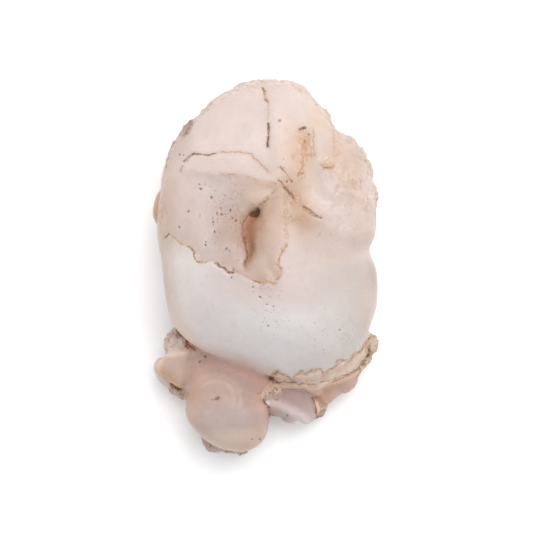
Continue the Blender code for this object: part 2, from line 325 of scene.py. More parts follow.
# The hollow between crown and dome, where the dome's skin has torn and curled back: a cove under the crown's
# ridge, a speckled face running down to the torn lip, and a deep slot with a rounded tongue at its right.
# Lines are given in the plan of the stone, which is what an eye straight above sees at 20 mm height.
RIDGE = [
    (-29.0, 20.8), (-22.6, 22.2), (-19.2, 23.2), (-15.8, 22.9), (-11.0, 22.4), (-7.0, 22.0), (-3.8, 21.2),
    (-1.0, 20.5), (2.9, 20.0), (4.3, 19.1),
]
TONGUE_SIDE = [
    (5.2, 17.0), (4.6, 14.8), (4.6, 12.8), (4.8, 10.0), (5.0, 7.6), (4.8, 5.2), (3.4, 3.0), (2.4, 0.4),
    (3.6, -0.8), (3.4, -2.3), (1.9, -4.2), (0.2, -3.5), (-1.2, -4.2),
]
LIP = [
    (-1.2, -4.2), (-2.4, -3.7), (-3.8, -3.0), (-5.8, -2.0), (-7.4, -1.1), (-8.9, -1.3), (-10.1, -0.4),
    (-11.8, 0.4), (-13.2, 1.6), (-14.9, 1.0), (-16.6, 1.1), (-17.5, 2.5), (-17.3, 3.5), (-18.0, 4.2),
    (-19.2, 4.7), (-20.6, 5.6), (-22.1, 6.8), (-23.3, 7.8), (-24.5, 7.1), (-29.0, 6.8),
]
SLOT = [
    (-1.8, 14.6), (-4.3, 12.1), (-5.4, 10.6), (-5.8, 8.3), (-5.1, 6.1), (-4.6, 4.0), (-4.7, 2.6),
    (-5.3, 0.2),
]
SLOT_WIDTH = [0.4, 2.0, 3.0, 3.2, 2.3, 1.4, 1.0, 0.3]
WELL = [(-1.5, 14.6), (-4.4, 11.9), (-2.2, 11.9), (-1.6, 13.2)]
TUCK = [(-1.4, 14.5), (-0.2, 15.5), (1.0, 16.2), (2.6, 16.7)]
RIDGE_DROP = 3.1
LIP_STEP = 1.1
SLOT_DEPTH = 4.4


def plan_of(points):
    return points[:, :2] * ((EYE - LEVEL) / (EYE - points[:, 2]))[:, None]


def inside(flat, outline):
    """Which points lie inside a closed outline, by counting crossings."""
    hit = np.zeros(len(flat), bool)
    for (x0, y0), (x1, y1) in zip(outline, outline[1:] + outline[:1]):
        if y0 == y1:
            continue
        crosses = (flat[:, 1] < y0) != (flat[:, 1] < y1)
        hit ^= crosses & (flat[:, 0] < x0 + (flat[:, 1] - y0) * (x1 - x0) / (y1 - y0))
    return hit


def from_line(flat, line):
    """Distance to an open line, negative on its right, and the share of the way along it."""
    signed = np.full(len(flat), 1e9)
    along = np.zeros(len(flat))
    for i, (a, b) in enumerate(zip(line, line[1:])):
        run = np.subtract(b, a)
        share = np.clip(((flat - a) @ run) / (run @ run), 0, 1)
        off = flat - a - share[:, None] * run
        far = np.hypot(off[:, 0], off[:, 1])
        side = np.where(run[0] * off[:, 1] < run[1] * off[:, 0], -1, 1)
        nearer = far < np.abs(signed)
        signed[nearer] = (far * side)[nearer]
        along[nearer] = ((i + share) / (len(line) - 1))[nearer]
    return signed, along


def wobble(flat, size, reach):
    """The plan moved about at random, so that a straight line drawn in it comes out ragged."""
    moved = np.empty_like(flat)
    for i, (x, y) in enumerate(flat):
        moved[i] = noise.noise_vector(Vector((x / size, y / size, 3.0)))[:2]
    return flat + moved * reach


def band(gap, width, power=2):
    """1 on a line, fading to 0 beside it. A higher power makes the fade steeper at that width."""
    return np.exp(-(gap / width) ** power)


points = points_of(stone)
plan = wobble(plan_of(points), 1.6, 0.35)
within = inside(plan, RIDGE + TONGUE_SIDE + LIP)
ridge = np.abs(from_line(plan, RIDGE)[0])
lip = np.abs(from_line(plan, LIP)[0])
edge = np.abs(from_line(plan, TONGUE_SIDE)[0])
slot, along = from_line(plan, SLOT)
window = step(-0.02, 0.1, along) * (1 - 0.8 * step(0.7, 1, along))
width = np.interp(along, np.linspace(0, 1, len(SLOT)), SLOT_WIDTH)
cove = 1 - (1 - np.clip(ridge / 6.0, 0, 1)) ** 2
fade = step(-25, -13, plan[:, 0]) * (1 - 0.25 * step(-10, 0, plan[:, 0]))
face = cove * (LIP_STEP + fade * (RIDGE_DROP - LIP_STEP) * step(0, 12, lip))
face += 1.8 * np.exp(-np.abs(slot) / 1.6) * window
tongue = cove * 0.8 * step(0, 1, edge / (2.0 + 3.2 * step(-2, 8, plan[:, 1])))
flank = band(np.clip(slot, 0, None), 0.9 * width + 0.9)
right = step(0, 2.5, slot)
calm = face * (1 - right) + tongue * right
pit = np.where(slot > 0, flank, band(slot, 0.35)) * window
depth = calm * (1 - pit) + SLOT_DEPTH * pit
depth += 0.9 * inside(plan, WELL)
tuck, along = from_line(plan, TUCK)
depth += 0.4 * band(tuck, 0.4) * (1 - along)
upper = step(WAIST + 2, WAIST + 10, points[:, 2])
points[:, 2] -= np.where(within, depth * upper, 0)
put_points(stone, points)

# The lobes at the stone's foot and the crystals on its shoulder, fused to the mass. The neck flows into the
# ball, so the skin between them is smoothed more.
FLOW_MIDDLE = (-9.5, -28.5)
FLOW_REACH = (10.0, 8.0)
join(stone, [grow_lobe(name) for name in LOBES])
seats = {name: seat(*crystal) for name, crystal in CRYSTALS.items()}
join(stone, [grow_crystal(name) for name in CRYSTALS])
finish_with(stone, "REMESH", mode="VOXEL", voxel_size=GRID * MM)
finish_with(stone, "SMOOTH", factor=0.5, iterations=3)
cut_below(stone, -1.5)
pick_faces(stone, (normals_of(stone)[:, 2] < -0.2) & (points_of(stone)[:, 2] < WAIST))
bpy.ops.mesh.decimate(ratio=0.4)
bpy.ops.object.mode_set(mode="OBJECT")
points = points_of(stone)
flow = np.hypot(*((points[:, :2] - FLOW_MIDDLE) / FLOW_REACH).T)
flowing = np.flatnonzero((flow < 1) & (points[:, 2] > 8) & (points[:, 2] < 24))
group = stone.vertex_groups.new(name="flow")
for i in flowing:
    group.add([int(i)], 1 - flow[i] ** 3, "REPLACE")
finish_with(stone, "SMOOTH", factor=0.5, iterations=90, vertex_group="flow")
stone.vertex_groups.clear()

# Cracks and pores. The skin is split by fine jagged cracks that hold brown clay, and dotted with pin-sized
# pores. Each crack has its line, half width, depth and how dark it is from 0 to 1. The mesh is made
# finer around them first.
CRUST_TOP = [
    (0.7, -26.5), (2.4, -25.1), (4.3, -26.0), (6.0, -26.8), (7.2, -25.8), (8.2, -25.1), (9.4, -25.6),
    (11.0, -24.8), (13.0, -24.8), (13.8, -25.8), (15.4, -24.8), (16.6, -24.1), (17.0, -22.9),
    (19.9, -22.3), (21.4, -20.8), (22.8, -19.6), (24.2, -17.6),
]
CRUST_LOW = [
    (0.7, -26.5), (2.4, -27.4), (4.3, -27.6), (6.5, -27.7), (7.7, -28.2), (10.6, -28.4), (12.5, -28.0),
    (14.6, -27.5), (17.0, -26.8), (19.2, -25.8), (21.1, -24.8), (22.8, -23.4),
]
FAN_RIM = [
    (-20.6, -29.2), (-22.1, -28.2), (-23.8, -26.8), (-25.6, -25.2), (-26.0, -23.8), (-25.0, -22.3),
    (-23.3, -20.9), (-20.9, -20.0), (-18.4, -20.0),
]
CRACKS = [
    (LIP[:-1], 0.2, 0.15, 0.15),
    (TONGUE_SIDE[5:], 0.3, 0.12, 0.1),
    (RIDGE[4:], 0.1, 0.0, 0.0),
    ([(-24.5, 7.1), (-23.9, 7.3), (-23.3, 7.8)], 0.2, 0.4, 0.9),
    ([(-18.8, 4.6), (-18.0, 4.2), (-17.3, 3.5)], 0.3, 0.4, 0.8),
    ([(-17.3, 3.5), (-17.5, 2.5), (-17.3, 1.7), (-16.6, 1.1), (-15.9, 1.1)], 0.22, 0.3, 0.75),
    ([
        (-12.4, 0.8), (-11.4, 0.2), (-10.1, -0.4), (-9.6, -0.9), (-8.9, -1.3), (-8.0, -1.2),
    ], 0.34, 0.45, 0.85),
    ([(-3.2, -3.3), (-2.2, -3.8), (-1.2, -4.2)], 0.24, 0.3, 0.6),
    ([(-12.2, 27.2), (-6.8, 27.5), (-3.8, 27.1)], 0.15, 0.06, 0.1),
    ([(-3.8, 27.1), (-2.3, 25.6), (-1.0, 24.2), (0.6, 22.8)], 0.16, 0.04, 0.0),
    ([(-19.7, 25.1), (-19.4, 25.5), (-18.8, 26.3), (-17.3, 27.1), (-16.4, 27.1)], 0.26, 0.35, 0.85),
    ([(-16.4, 27.1), (-14.9, 26.8), (-13.6, 26.8), (-12.2, 27.2)], 0.18, 0.2, 0.7),
    ([(-20.8, 23.0), (-20.4, 24.0)], 0.18, 0.1, 0.2),
    ([(-23.8, 26.0), (-24.0, 24.8), (-23.9, 23.6)], 0.2, 0.2, 0.6),
    ([(3.3, 24.0), (3.9, 23.2)], 0.22, 0.25, 0.7),
    ([(3.9, 23.2), (5.5, 21.2), (6.1, 20.5)], 0.08, 0.04, 0.3),
    ([(2.6, 20.6), (3.4, 20.2), (4.3, 19.1)], 0.17, 0.2, 0.5),
    ([(4.3, 19.1), (4.9, 18.4)], 0.3, 0.35, 0.85),
    ([(4.9, 18.4), (5.8, 17.2), (6.4, 16.2)], 0.24, 0.25, 0.8),
    ([(-1.8, 14.6), (-0.9, 15.4), (0.2, 15.9)], 0.2, 0.2, 0.15),
    ([(0.2, 15.9), (1.4, 16.4), (2.6, 16.7)], 0.14, 0.06, 0.0),
    ([(7.6, 22.1), (8.0, 22.3), (8.8, 22.4)], 0.16, 0.1, 0.3),
    ([(8.2, 22.9), (8.6, 24.4), (8.8, 25.8)], 0.2, 0.05, 0.0),
    ([(9.0, 14.4), (10.3, 13.4), (11.6, 12.6), (12.4, 12.2)], 0.16, 0.35, 0.5),
    ([(9.0, 14.1), (10.3, 12.9), (11.8, 12.0), (13.0, 11.6)], 0.3, 0.45, 0.1),
    ([(-0.9, 43.0), (-0.6, 42.2)], 0.22, 0.4, 0.7),
    ([(-0.6, 42.0), (-0.5, 40.7), (0.2, 39.6)], 0.34, 0.5, 0.3),
    ([(0.2, 39.6), (0.5, 38.9), (0.3, 37.2), (0.3, 35.2)], 0.12, 0.1, 0.1),
    ([(0.2, 34.2), (0.3, 33.0), (0.4, 31.4)], 0.22, 0.5, 0.85),
    ([(0.45, 31.0), (0.4, 29.6), (0.5, 28.5)], 0.25, 0.6, 0.95),
    ([(8.1, 33.0), (9.2, 33.4)], 0.34, 0.6, 0.95),
    ([(-5.3, 7.0), (-4.9, 4.4), (-4.8, 2.4), (-5.3, 0.4)], 0.2, 0.3, 0.75),
    ([(-4.3, 12.1), (-5.4, 10.6), (-5.8, 8.3), (-5.3, 7.0)], 0.15, 0.1, 0.3),
    ([(-0.6, -32.0), (0.3, -33.6), (0.8, -35.6), (0.9, -37.6)], 0.2, 0.8, 0.3),
    (CRUST_TOP, 0.26, 0.2, 0.15),
    (CRUST_LOW, 0.2, 0.3, 0.2),
    ([(0.8, -26.6), (1.6, -26.0), (2.5, -25.2)], 0.4, 0.8, 0.75),
    ([(2.6, -25.2), (4.3, -26.0), (5.8, -26.7)], 0.24, 0.4, 0.45),
    ([(1.4, -27.0), (2.8, -27.5), (4.6, -27.6), (6.5, -27.7)], 0.24, 0.4, 0.5),
    ([(24.6, -20.3), (24.1, -21.8)], 0.55, 1.0, 0.25),
    ([(23.6, -22.8), (23.1, -23.8)], 0.45, 0.6, 0.25),
    ([(-13.2, -32.1), (-12.4, -31.8), (-12.0, -31.7)], 0.17, 0.2, 0.1),
    ([(-12.0, -31.7), (-11.4, -31.4)], 0.34, 0.4, 0.8),
    ([(11.2, 33.0), (11.2, 30.0), (11.4, 26.9)], 0.16, 0.04, 0.0),
    ([(16.1, 33.2), (16.2, 30.0), (16.3, 26.7)], 0.11, 0.03, 0.0),
    ([(12.8, 24.2), (14.0, 23.6), (15.4, 23.5), (16.2, 24.1)], 0.18, 0.08, 0.1),
    ([(-22.8, -28.4), (-22.0, -28.8), (-20.7, -29.5)], 0.45, 0.8, 0.9),
    ([(-21.6, -14.8), (-20.6, -16.2), (-19.6, -17.5), (-19.0, -18.3), (-18.0, -19.2)], 0.2, 0.3, 0.5),
    ([(-18.9, -18.4), (-19.0, -19.6)], 0.24, 0.4, 0.55),
    ([(-18.0, -19.2), (-17.0, -20.0)], 0.2, 0.3, 0.3),
    ([(11.0, -31.6), (11.7, -33.2), (12.0, -34.8), (12.2, -36.4)], 0.15, 0.4, 0.6),
    ([(0.6, -30.9), (1.9, -30.2), (4.1, -29.5), (6.2, -29.3), (8.2, -29.5), (10.0, -30.4)], 0.16, 0.2, 0.1),
    ([(-0.4, -30.4), (0.6, -30.3), (1.6, -30.6)], 0.14, 0.2, 0.3),
    ([(-2.2, -30.6), (-1.4, -30.4)], 0.26, 0.2, 0.0),
]
PORES = [
    (-15.8, 18.6, 0.3), (-16.1, 19.8, 0.22), (-13.2, 16.4, 0.26), (-10.1, 16.9, 0.18), (-18.6, 13.3, 0.32),
    (-10.9, 13.8, 0.2), (-8.9, 13.6, 0.18), (-7.2, 10.9, 0.32), (-12.5, 8.5, 0.24), (-20.9, 9.5, 0.36),
    (-9.7, 4.2, 0.28), (-8.9, 3.8, 0.2), (-13.0, 10.6, 0.18), (-12.0, 12.6, 0.2), (-10.8, 12.6, 0.2),
    (-8.2, 11.6, 0.2), (-14.5, 5.8, 0.2), (-14.6, 5.0, 0.2), (-8.4, -2.6, 0.2), (-3.2, -4.9, 0.24),
    (-1.7, -7.4, 0.3), (0.0, -9.0, 0.2), (1.4, -9.7, 0.22), (-0.5, -12.4, 0.2), (0.5, -14.3, 0.2),
    (2.4, -13.3, 0.18), (17.5, -15.5, 0.2), (13.4, -20.0, 0.2), (3.2, 35.2, 0.28), (-19.4, 32.0, 0.26),
    (-18.8, 33.2, 0.2), (-18.1, 34.1, 0.3), (-20.9, 26.8, 0.22), (-20.0, 26.8, 0.18), (10.3, 31.7, 0.3),
    (6.1, 20.5, 0.28), (4.8, 20.4, 0.22), (-3.4, -41.5, 0.2), (-1.3, -41.6, 0.3),
    (-1.2, -42.3, 0.26), (-14.6, -21.6, 0.3), (-16.2, -22.9, 0.3), (2.5, -32.0, 0.22), (5.0, -35.5, 0.26),
]
FINE_WITHIN = [0.5, 0.26]


def facing_up(thing):
    return step(0.05, 0.35, normals_of(thing)[:, 2])


def ragged_plan(points):
    """The plan as wobbled for the hollow, then again more finely."""
    return wobble(wobble(plan_of(points), 1.6, 0.35), 0.6, 0.16)


def nearest_crack(plan):
    """Distance to the nearest crack's line in half widths and in mm, and that crack's depth and darkness."""
    best = np.full(len(plan), 99.0)
    near = np.full(len(plan), 99.0)
    depth = np.zeros(len(plan))
    dark = np.zeros(len(plan))
    for line, half, deep, soot in CRACKS:
        gap = np.abs(from_line(plan, line)[0])
        closer = gap / half < best
        best[closer] = (gap / half)[closer]
        depth[closer] = deep
        dark[closer] = soot
        near = np.minimum(near, gap)
    return best, near, depth, dark


def nearest_pore(plan):
    best = np.full(len(plan), 99.0)
    for x, y, size in PORES:
        best = np.minimum(best, np.hypot(plan[:, 0] - x, plan[:, 1] - y) / size)
    return best


for reach in FINE_WITHIN:
    points = points_of(stone)
    plan = ragged_plan(points)
    near = np.minimum(nearest_crack(plan)[1], nearest_pore(plan) * 0.2)
    pick_faces(stone, (near < reach) & (normals_of(stone)[:, 2] > 0.2))
    bpy.ops.mesh.subdivide(number_cuts=1)
    bpy.ops.object.mode_set(mode="OBJECT")

# Its skin: broad soft lumps everywhere, knobs low down, and flat sugary facets on the drusy side, the
# crown's rim, the left rim and the broken lobes, each with finer facets on it.
KNOB = 4.2
FACET = 1.5
DRUSE_MIDDLE = (20.0, 17.0)
DRUSE_REACH = (8.0, 11.0)
RING_MIDDLE = (-12.2, -31.9)
INNER_RING = 4.3
OUTER_RING = 6.0
base = points_of(stone)
plan = ragged_plan(base)
upward = facing_up(stone)


def spot(centre, radii, turn=0, soft=0.8):
    """1 in an ellipse of the plan and 0 outside it, with an edge that is soft over that share."""
    return 1 - step(1 - soft, 1 + soft, np.hypot(*in_ellipse(plan - centre, radii, turn)))


def on_lobe(name):
    """1 on the skin of a lobe, 0 off it."""
    waist, rise, drop, fullness, slope = LOBES[name][1:]
    outline, middle = lobe_frame(name)
    flat = base[:, :2] - middle
    reach = outline_reach(outline, middle, np.arctan2(flat[:, 1], flat[:, 0]))
    height = base[:, 2] - waist - flat @ slope
    tall = np.where(height > 0, rise, drop)
    size = ((np.hypot(flat[:, 0], flat[:, 1]) / reach) ** fullness + np.abs(height / tall) ** fullness)
    return 1 - step(1.03, 1.12, size ** (1 / fullness))


def on_crystal(name):
    half = CRYSTALS[name][2]
    middle, turn = seats[name]
    return 1 - step(1.04, 1.14, np.abs((base - middle) @ turn / half).max(axis=1))


x, y, z = base.T
low = 1 - step(4, 11, z)
drusy = np.exp(-(((base[:, :2] - DRUSE_MIDDLE) / DRUSE_REACH) ** 2).sum(axis=1) ** 2)
crown_rim = np.where(x < 0, step(22, 30, y), step(12, 24, y)) * (1 - step(21, 27, z))
left_rim = 0.3 * step(8, 14, y) * step(22, 25, -x)
lobes = {name: on_lobe(name) for name in LOBES}
crystals = {name: on_crystal(name) for name in CRYSTALS}
broken = np.zeros(len(base))
for name in [
    "base of the ball", "base of the fan", "grey druse", "brown shard", "flange", "dark corner of the foot",
]:
    broken = np.maximum(broken, lobes[name])
for name in ["ball", "cream fan", "neck"]:
    broken *= 1 - lobes[name]
smooth_lobes = ["ball", "neck", "cream fan", "pale foot", "pink foot"]
smooth_foot = np.clip(sum(lobes[name] for name in smooth_lobes), 0, 1)
blotchy = spot((9.3, 28.8), (1.8, 3.4), 0, 0.5) * (1 - crystals["block"])
crust_gap = from_line(plan, CRUST_TOP)[0]
foot_side = step(-0.1, 0.1, -crust_gap) * (1 - step(-17.5, -14, y)) * step(0.0, 1.0, x)
crusty = foot_side * inside(plan, CRUST_TOP + CRUST_LOW[::-1])
big = np.clip(0.25 * drusy * upward + 0.6 * drusy * (1 - upward) + 0.5 * crown_rim + 0.5 * left_rim, 0, 1)
big = np.maximum(big, np.maximum(0.7 * low * (1 - smooth_foot), broken))
big = np.maximum(big, 0.45 * lobes["pink foot"] * (1 - foot_side * step(13, 16, z)))
fine = np.clip(0.35 * drusy * upward + 1.2 * drusy * (1 - upward) + 1.2 * crown_rim + left_rim, 0, 1.2)
fine = np.maximum(fine, np.maximum(np.maximum(blotchy, 0.6 * crusty), np.maximum(broken, 0.5 * low)))
fine *= 1 - 0.8 * crystals["block"]
lumpy = 0.35 + 0.65 * np.clip(low + crown_rim, 0, 1) + 0.5 * drusy
lumpy *= 1 - 0.5 * smooth_foot
move = np.empty(len(base))


def facet(place, size):
    """Height of a field of flat tilted plates at a place, and the distance to its plate's middle."""
    distances, centres = noise.voronoi(place / size)
    slant = noise.cell_vector(centres[0] * 9.7) * 2 - Vector((1, 1, 1))
    return (place / size - centres[0]).dot(slant), distances[0]


for i, point in enumerate(base):
    place = Vector(point)
    move[i] = lumpy[i] * (noise.noise(place / 11) * 1.2 + noise.noise(place / 5) * 0.5)
    if low[i] > 0 or big[i] > 0:
        plate, spread = facet(place, KNOB)
        move[i] += low[i] * 1.1 * (0.45 - spread) + big[i] * (0.9 * plate - 0.25)
    if fine[i] > 0:
        plate, spread = facet(place, FACET)
        move[i] += fine[i] * (0.34 * plate + 0.3 * (0.45 - spread))
points = base + normals_of(stone) * move[:, None]
crack, crack_gap, crack_depth, crack_dark = nearest_crack(plan)
pore = nearest_pore(plan)
points[:, 2] -= upward * crack_depth * np.exp(-crack**2)
points[:, 2] -= upward * 0.25 * np.exp(-pore**2)
points[:, 2] -= foot_side * upward * 0.7 * step(0.0, 0.5, -crust_gap)
low_gap = from_line(plan, CRUST_LOW)[0]
points[:, 2] += foot_side * upward * 0.5 * band(low_gap + 1.0, 0.45)
for line, half, lift in STREAKS:
    points[:, 2] += upward * lift * band(from_line(plan, line)[0], half)
honey = spot((14.5, 25.0), (1.9, 1.3), -8, 0.25)
points[:, 2] += upward * 0.35 * honey
rim_gap = np.abs(from_line(plan, FAN_RIM)[0])
points[:, 2] += upward * 0.6 * band(rim_gap, 0.7) * lobes["cream fan"]
around = plan - RING_MIDDLE
ring = np.hypot(around[:, 0], around[:, 1])
ring_side = step(-0.2, 0.6, (0.5 * around[:, 0] + around[:, 1]) / ring)
points[:, 2] += upward * 0.13 * band(ring - INNER_RING, 0.5) * ring_side
put_points(stone, points)

# Its colours, laid over each other in broad soft patches: blush crown, porcelain dome, mauve hollow, tan
# round the cracks where clay has stained it, beige ball and peach feet. Some patches are painted shade
# or painted light, as noted where they are laid.
BLUSH = (0.70, 0.58, 0.535)
CROWN_WHITE = (0.67, 0.57, 0.53)
PORCELAIN = (0.725, 0.685, 0.675)
ROSE = (0.55, 0.465, 0.43)
MAUVE = (0.72, 0.595, 0.56)
FACE = (0.555, 0.455, 0.425)
PEACH = (0.57, 0.445, 0.375)
SUGAR = (0.58, 0.465, 0.42)
WHITE = (0.74, 0.66, 0.62)
TAN = (0.50, 0.34, 0.235)
OCHRE = (0.50, 0.29, 0.15)
BROWN = (0.41, 0.20, 0.115)
BROWN_DARK = (0.33, 0.17, 0.10)
CREAM = (0.78, 0.60, 0.46)

tint = np.tile(np.array(BLUSH), (len(base), 1))


def lay(colour, mask):
    tint[:] += (np.array(colour) - tint) * np.clip(mask, 0, 1)[:, None]


def lay_patches(mask, patches):
    """Lays soft patches within a mask, each a colour and a strength, and then what spot takes."""
    for colour, strength, *where in patches:
        lay(colour, strength * mask * spot(*where))


top_side = upward * step(WAIST, WAIST + 2, z)
hollow = inside(plan, RIDGE + TONGUE_SIDE + LIP) * top_side
below_the_lip = [(6.0, 6.0), (30.0, 4.0), (30.0, -40.0), (-40.0, -40.0)]
dome = inside(plan, LIP[::-1] + TONGUE_SIDE[::-1][1:-1] + below_the_lip)
dome = dome * (1 - step(0.5, 5.0, plan[:, 0]) * (1 - step(0, 7, 6 - plan[:, 1])))
# Crown and shoulder
lay(CROWN_WHITE, 0.9 * spot((3.0, 34.0), (13.0, 12.0), 0, 0.7))
lay((0.68, 0.51, 0.42), 0.6 * (1 - step(12, 22, z)) * step(8, 14, y))
lay(PEACH, spot((20.0, 18.0), (12.0, 16.0), -10, 0.5))
lay(SUGAR, spot((12.5, 17.0), (3.6, 8.5), 10, 0.5))
for line, half, lift in STREAKS:
    lay(WHITE, 0.15 * band(from_line(plan, line)[0], half))
# The hollow, and the tongue at the right of its slot
# MAUVE is paler than FACE, which is laid lower down: the paler mauve near the ridge is painted light that
# lifts the shade under the ridge.
lay(MAUVE, hollow * 0.9)
ridge_gap = np.abs(from_line(plan, RIDGE)[0])
lay(FACE, hollow * step(2.5, 8, ridge_gap) * step(-24, -18, plan[:, 0]) * 0.8)
lay((0.66, 0.51, 0.44), hollow * step(12, 22, -plan[:, 0]) * 0.5)
lay_patches(hollow, [
    ((0.74, 0.55, 0.43), 0.7, (-0.5, 18.0), (6.0, 4.0), -20),
    ((0.44, 0.31, 0.25), 0.7, (-9.0, 9.0), (3.6, 7.0), 8, 0.9),
    ((0.44, 0.30, 0.235), 0.7, (-6.2, 12.0), (3.4, 5.0), 0, 0.9),
])
slot_gap, slot_along = from_line(plan, SLOT)
side_gap = np.abs(from_line(plan, TONGUE_SIDE)[0])
tongue = hollow * step(1.5, 4.0, slot_gap) * step(0, 1, side_gap / (0.3 + 2.7 * step(-2, 6, plan[:, 1])))
lay((0.52, 0.36, 0.285), tongue * step(4, 12, plan[:, 1]))
lay((0.49, 0.375, 0.32), tongue * (1 - step(4, 12, plan[:, 1])))
lay_patches(hollow, [
    ((0.66, 0.50, 0.42), 0.7, (3.0, 10.0), (1.8, 8.0)),
    ((0.66, 0.50, 0.42), 0.7, (1.8, -1.6), (1.8, 2.6)),
])
# The slot, brown with clay, and near black in the well at its upper end: there painted shade of the deep
# hole over the clay
window = step(-0.02, 0.12, slot_along) * (1 - 0.4 * step(0.8, 1, slot_along))
width = np.interp(slot_along, np.linspace(0, 1, len(SLOT)), SLOT_WIDTH)
right_side = np.clip(slot_gap, 0, 20)
left_side = np.clip(-slot_gap, 0, 20)
in_slot = hollow * window * band(left_side, 0.3)
lay(TAN, 0.4 * hollow * band(left_side, 2.5) * window)
lay((0.56, 0.37, 0.27), in_slot * band(right_side, width + 1.3, 4))
lay(BROWN, in_slot * band(right_side, width + 0.3, 5))
lay(BROWN_DARK, 0.7 * in_slot * band(right_side, 0.9))
# Painted shade: the deep well at the slot's upper end is laid near black brown
lay((0.12, 0.055, 0.02), 0.95 * hollow * inside(plan, WELL))
# The dome, white on its brow and greyer towards its edges; painted light on its left side, painted shade at
# its left and right edges and under the tongue's tip
porcelain = spot((-6.0, -9.5), (24.0, 14.0), -22, 0.6)
lay(ROSE, dome * top_side)
lay(PORCELAIN, dome * top_side * porcelain)
# Painted light: the dome's left side is laid paler, against the shade it gets from the lamp on the right
lay((0.80, 0.73, 0.70), dome * top_side * 0.7 * spot((-20.5, -7.0), (6.0, 14.0), 10))
lay_patches(dome, [
    ((0.60, 0.48, 0.43), 0.6, (9.0, 2.0), (8.0, 3.6)),
    # Painted shade under the tongue's tip
    ((0.56, 0.44, 0.40), 0.8, (0.5, -4.4), (13.0, 5.0), 0, 0.9),
    # Painted shade along the dome's left edge
    ((0.66, 0.52, 0.455), 0.8, (-24.5, -4.0), (2.6, 14.0), 8),
    ((0.72, 0.54, 0.46), 0.7, (-19.5, -16.0), (2.0, 5.0), 40),
    # Painted shade along the dome's right edge
    ((0.60, 0.47, 0.41), 0.6, (25.0, -10.0), (2.4, 10.0)),
    ((0.70, 0.52, 0.47), 0.7, (-9.0, -22.0), (12.0, 1.8), -21, 0.9),
])
# Clay stains and pale patches between the cracks
lay_patches(1, [
    (TAN, 0.7, (7.5, 10.5), (5.4, 4.6), -30),
    (TAN, 0.4, (11.8, 11.0), (4.4, 3.0), -30),
    (TAN, 0.22, (1.0, 26.5), (2.6, 9.0), 8, 0.9),
    ((0.68, 0.51, 0.40), 0.5, (14.5, 36.0), (3.6, 6.0), 40),
    (TAN, 0.85, (6.0, 16.0), (2.6, 5.4), 20),
    ((0.58, 0.35, 0.22), 0.7, (9.2, 28.6), (1.8, 3.8), 0, 0.9),
    ((0.72, 0.60, 0.55), 0.8, (17.5, 10.5), (5.4, 4.6)),
    ((0.61, 0.42, 0.30), 0.6, (7.0, 25.5), (3.2, 9.5), 10),
    ((0.62, 0.42, 0.29), 0.6, (17.4, 29.8), (1.5, 4.0)),
])
lay((0.58, 0.435, 0.36), 0.6 * (1 - step(22, 31, z)) * step(15, 23, y))
# The dark notch in the crown's left rim, kept off the wall below it
rim_up = step(11, 17, z)
lay((0.40, 0.28, 0.20), 0.7 * rim_up * spot((-19.8, 33.0), (1.2, 2.2), -35, 0.6))
# Fainter stains and pale patches over those
lay_patches(1, [
    ((0.50, 0.36, 0.26), 0.5, (7.2, 20.0), (2.4, 6.5), 12),
    ((0.72, 0.58, 0.51), 0.7, (23.8, 19.0), (2.6, 4.5)),
    ((0.60, 0.46, 0.39), 0.5, (13.5, 5.5), (7.0, 2.6), -10),
    ((0.60, 0.48, 0.43), 0.6, (6.5, 3.0), (5.0, 4.4), 0, 0.9),
    ((0.62, 0.46, 0.37), 0.6, (20.5, 22.0), (3.4, 4.0), 20),
    (TAN, 0.2, (20.2, 28.6), (3.0, 2.0), -40),
    ((0.64, 0.49, 0.36), 0.6, (13.0, 35.0), (3.0, 1.6), 10, 0.7),
])
# Where brown clay clings in blotches, each with its middle, half sizes, turn and strength
blotch = 0.56 * spot((9.3, 29.6), (1.8, 2.6), 0, 0.7)
for centre, radii, turn, strength in [
    ((9.9, 26.8), (1.5, 2.2), 0, 0.55), ((6.0, 27.2), (1.2, 2.2), 0, 0.48),
    ((8.6, 24.4), (0.8, 2.4), 0, 0.5), ((14.5, 24.8), (1.9, 1.4), -8, 0.5),
    ((14.6, 23.8), (1.6, 0.5), 5, 0.7), ((17.0, 28.2), (1.0, 2.4), 0, 0.5),
    ((6.6, 16.0), (2.4, 4.2), 30, 0.5), ((7.5, 11.5), (3.8, 2.6), -30, 0.4),
    ((14.5, 7.0), (5.0, 1.6), -16, 0.35), ((20.5, 20.0), (3.2, 2.2), -30, 0.5),
    ((23.8, 16.0), (1.6, 3.0), 0, 0.4), ((13.0, 34.6), (3.0, 0.9), 12, 0.4),
    ((-1.8, 41.8), (0.5, 1.8), 12, 0.4), ((-22.0, 12.5), (2.0, 3.0), 0, 0.35),
    ((24.4, -21.0), (1.4, 2.6), 0, 0.6), ((-20.0, 33.2), (0.9, 1.8), -35, 0.65),
    ((8.2, 22.4), (0.8, 0.6), 0, 0.6), ((1.2, -29.0), (2.2, 1.2), 20, 0.45),
    ((-24.3, -26.3), (1.0, 2.2), 50, 0.5), ((-25.6, 14.0), (1.6, 4.0), 0, 0.55),
    ((0.6, 16.6), (2.2, 0.7), 15, 0.4),
]:
    blotch = np.maximum(blotch, strength * spot(centre, radii, turn, 0.5))
# The crystals, and the lobes at the foot and on the rims
lay((0.66, 0.525, 0.475), crystals["block"])
lay((0.66, 0.45, 0.33), 0.8 * honey)
